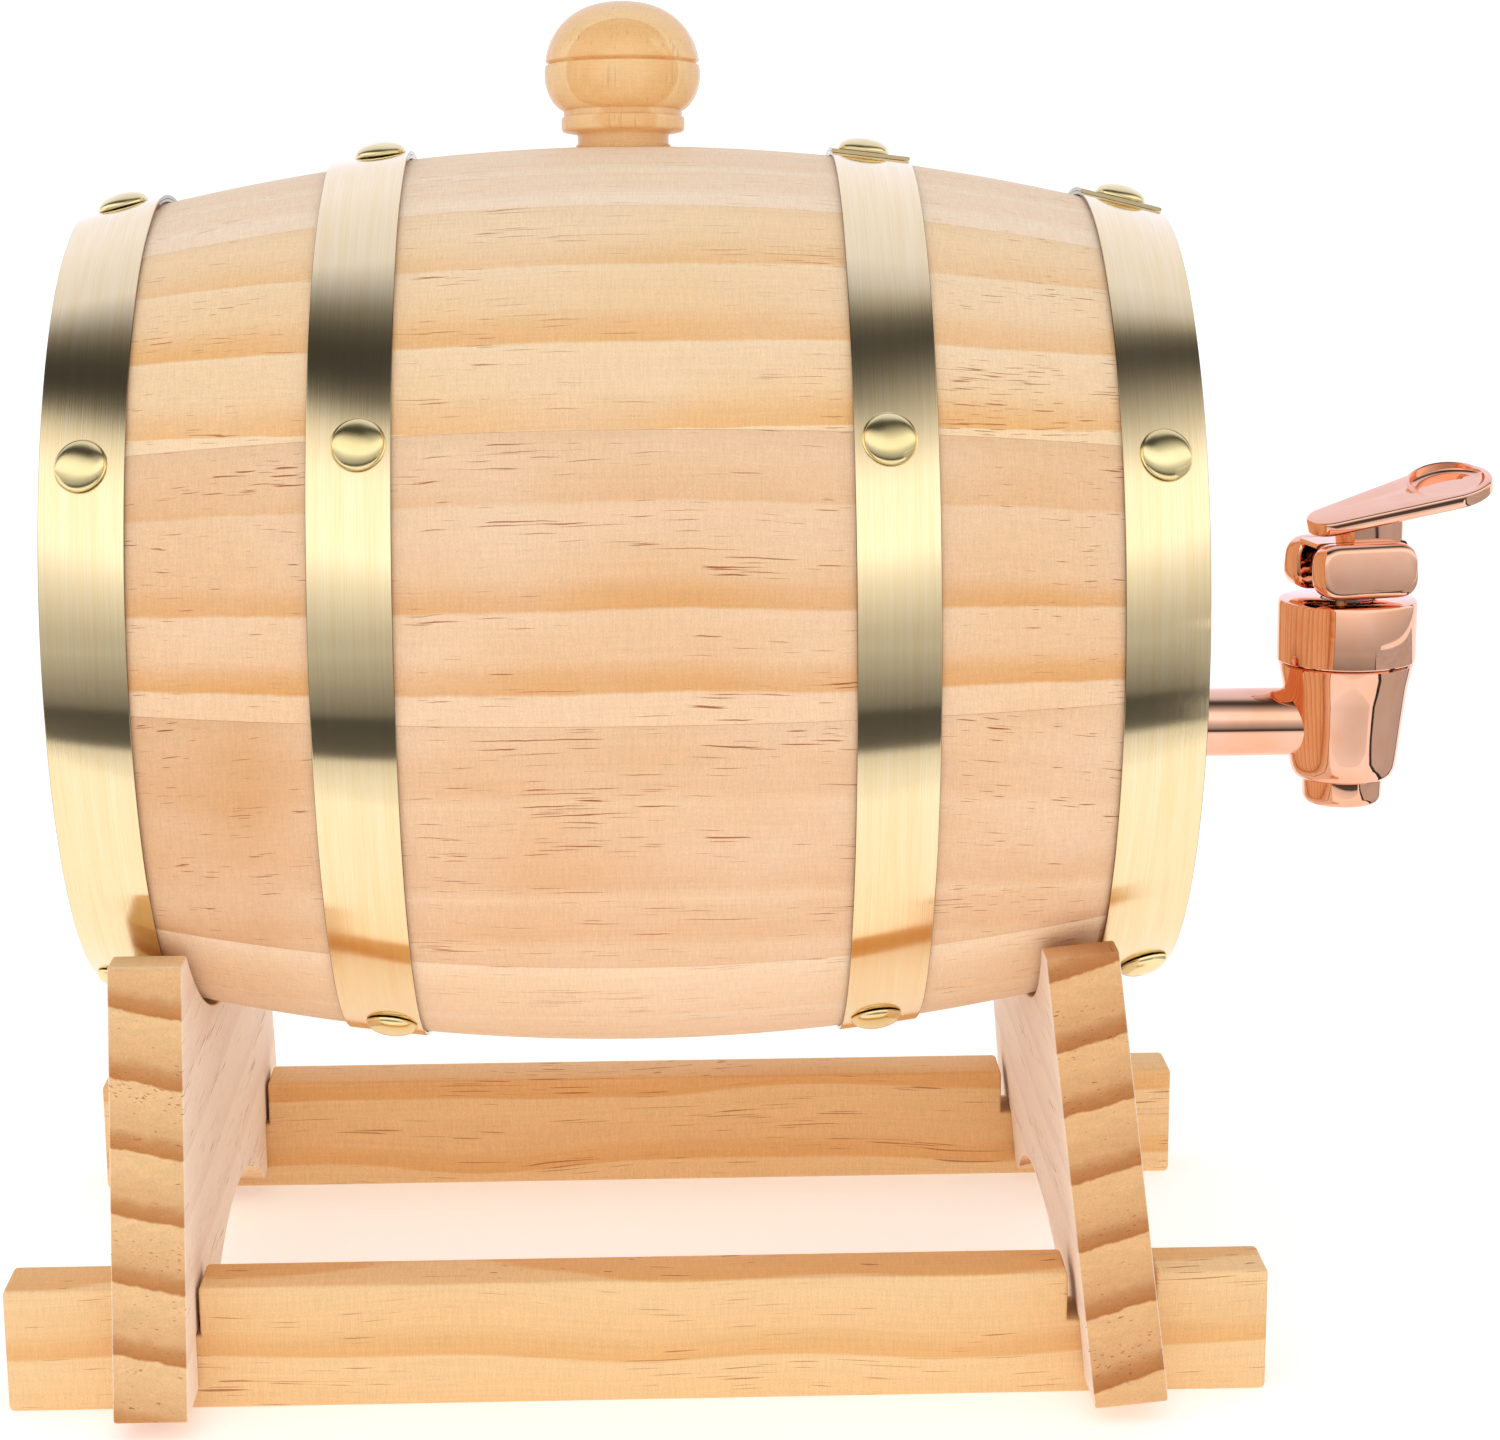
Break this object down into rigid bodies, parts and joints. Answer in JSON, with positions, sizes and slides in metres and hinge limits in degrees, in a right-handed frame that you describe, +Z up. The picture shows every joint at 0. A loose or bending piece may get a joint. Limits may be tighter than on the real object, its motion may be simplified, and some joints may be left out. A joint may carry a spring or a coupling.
{
  "type": "wine barrel with tap and cradle stand",
  "caption": "Small bulged wooden barrel lying on its side in a notched cradle stand, with nailed metal hoops, a turned bung knob on top and a lever tap in one head.",
  "frame": {"origin": "middle of the bounding box's base, on the surface the stand rests on", "axes": "+X along the barrel's axis towards the tap, +Y towards the rear, +Z up"},
  "size_m": [0.2823, 0.1698, 0.2488],
  "materials": {
    "stave_pine": "planed bare pine",
    "head_pine": "planed bare pine",
    "stand_pine": "sawn and sanded pine",
    "bung_varnish": "honey-coloured gloss varnish",
    "hoop_brass": "brushed pale brass sheet",
    "nail_brass": "polished pale brass",
    "tap_rose_gold": "polished rose-gold plating",
    "tap_inner_steel": "bright turned steel",
    "silicone": "white silicone"
  },
  "bodies": {
    "stand": {"cradle_board_left": "stand_pine", "cradle_board_right": "stand_pine", "rail_front": "stand_pine", "rail_rear": "stand_pine"},
    "barrel": {"backing_nut": "tap_inner_steel", "head_left_front": "head_pine", "head_left_middle": "head_pine", "head_left_rear": "head_pine", "head_right_front": "head_pine", "head_right_middle": "head_pine", "head_right_rear": "head_pine", "hoop_left_inner": "hoop_brass", "hoop_left_outer": "hoop_brass", "hoop_right_inner": "hoop_brass", "hoop_right_outer": "hoop_brass", "nail_left_inner_1": "nail_brass", "nail_left_inner_2": "nail_brass", "nail_left_inner_3": "nail_brass", "nail_left_inner_4": "nail_brass", "nail_left_outer_1": "nail_brass", "nail_left_outer_2": "nail_brass", "nail_left_outer_3": "nail_brass", "nail_left_outer_4": "nail_brass", "nail_right_inner_1": "nail_brass", "nail_right_inner_2": "nail_brass", "nail_right_inner_3": "nail_brass", "nail_right_inner_4": "nail_brass", "nail_right_outer_1": "nail_brass", "nail_right_outer_2": "nail_brass", "nail_right_outer_3": "nail_brass", "nail_right_outer_4": "nail_brass", "shank_washer_inner": "silicone", "shank_washer_outer": "silicone", "stave_01": "stave_pine", "stave_02": "stave_pine", "stave_03": "stave_pine", "stave_04": "stave_pine", "stave_05": "stave_pine", "stave_06": "stave_pine", "stave_07": "stave_pine", "stave_08": "stave_pine", "stave_09": "stave_pine", "stave_10": "stave_pine", "tap_body": "tap_rose_gold", "tap_bonnet": "tap_rose_gold", "tap_shank": "tap_rose_gold", "tap_spout": "tap_rose_gold"},
    "bung": {"bung": "bung_varnish"},
    "swivel": {"stem_guide_bush": "tap_inner_steel", "tap_spring": "tap_inner_steel"},
    "stem": {"tap_stem": "tap_inner_steel", "tap_seal": "silicone"},
    "lever": {"tap_lever": "tap_rose_gold", "lever_pin": "tap_inner_steel"}
  },
  "joints": [
    {"name": "barrel_lift", "type": "slide", "parent": "stand", "child": "barrel", "axis": [0, 0, 1], "range_m": [0, 0.12]},
    {"name": "bung_pull", "type": "slide", "parent": "barrel", "child": "bung", "axis": [0, 0.1132, 0.9936], "range_m": [0, 0.04]},
    {"name": "tap_swivel", "type": "hinge", "parent": "barrel", "child": "swivel", "pos_m": [0.11285, 0, 0.142], "axis": [0, 0, 1], "continuous": true},
    {"name": "stem_lift", "type": "slide", "parent": "swivel", "child": "stem", "axis": [0, 0, 1], "range_m": [0, 0.0057], "deforming": ["tap_spring"]},
    {"name": "lever_tilt", "type": "hinge", "parent": "stem", "child": "lever", "pos_m": [0.11285, 0, 0.142], "axis": [0.2215, -0.9751, 0], "range_deg": [0, 90]}
  ],
  "couplings": [
    {"joint": "stem_lift", "follows": "lever_tilt", "m_per_rad": 0.0036}
  ]
}
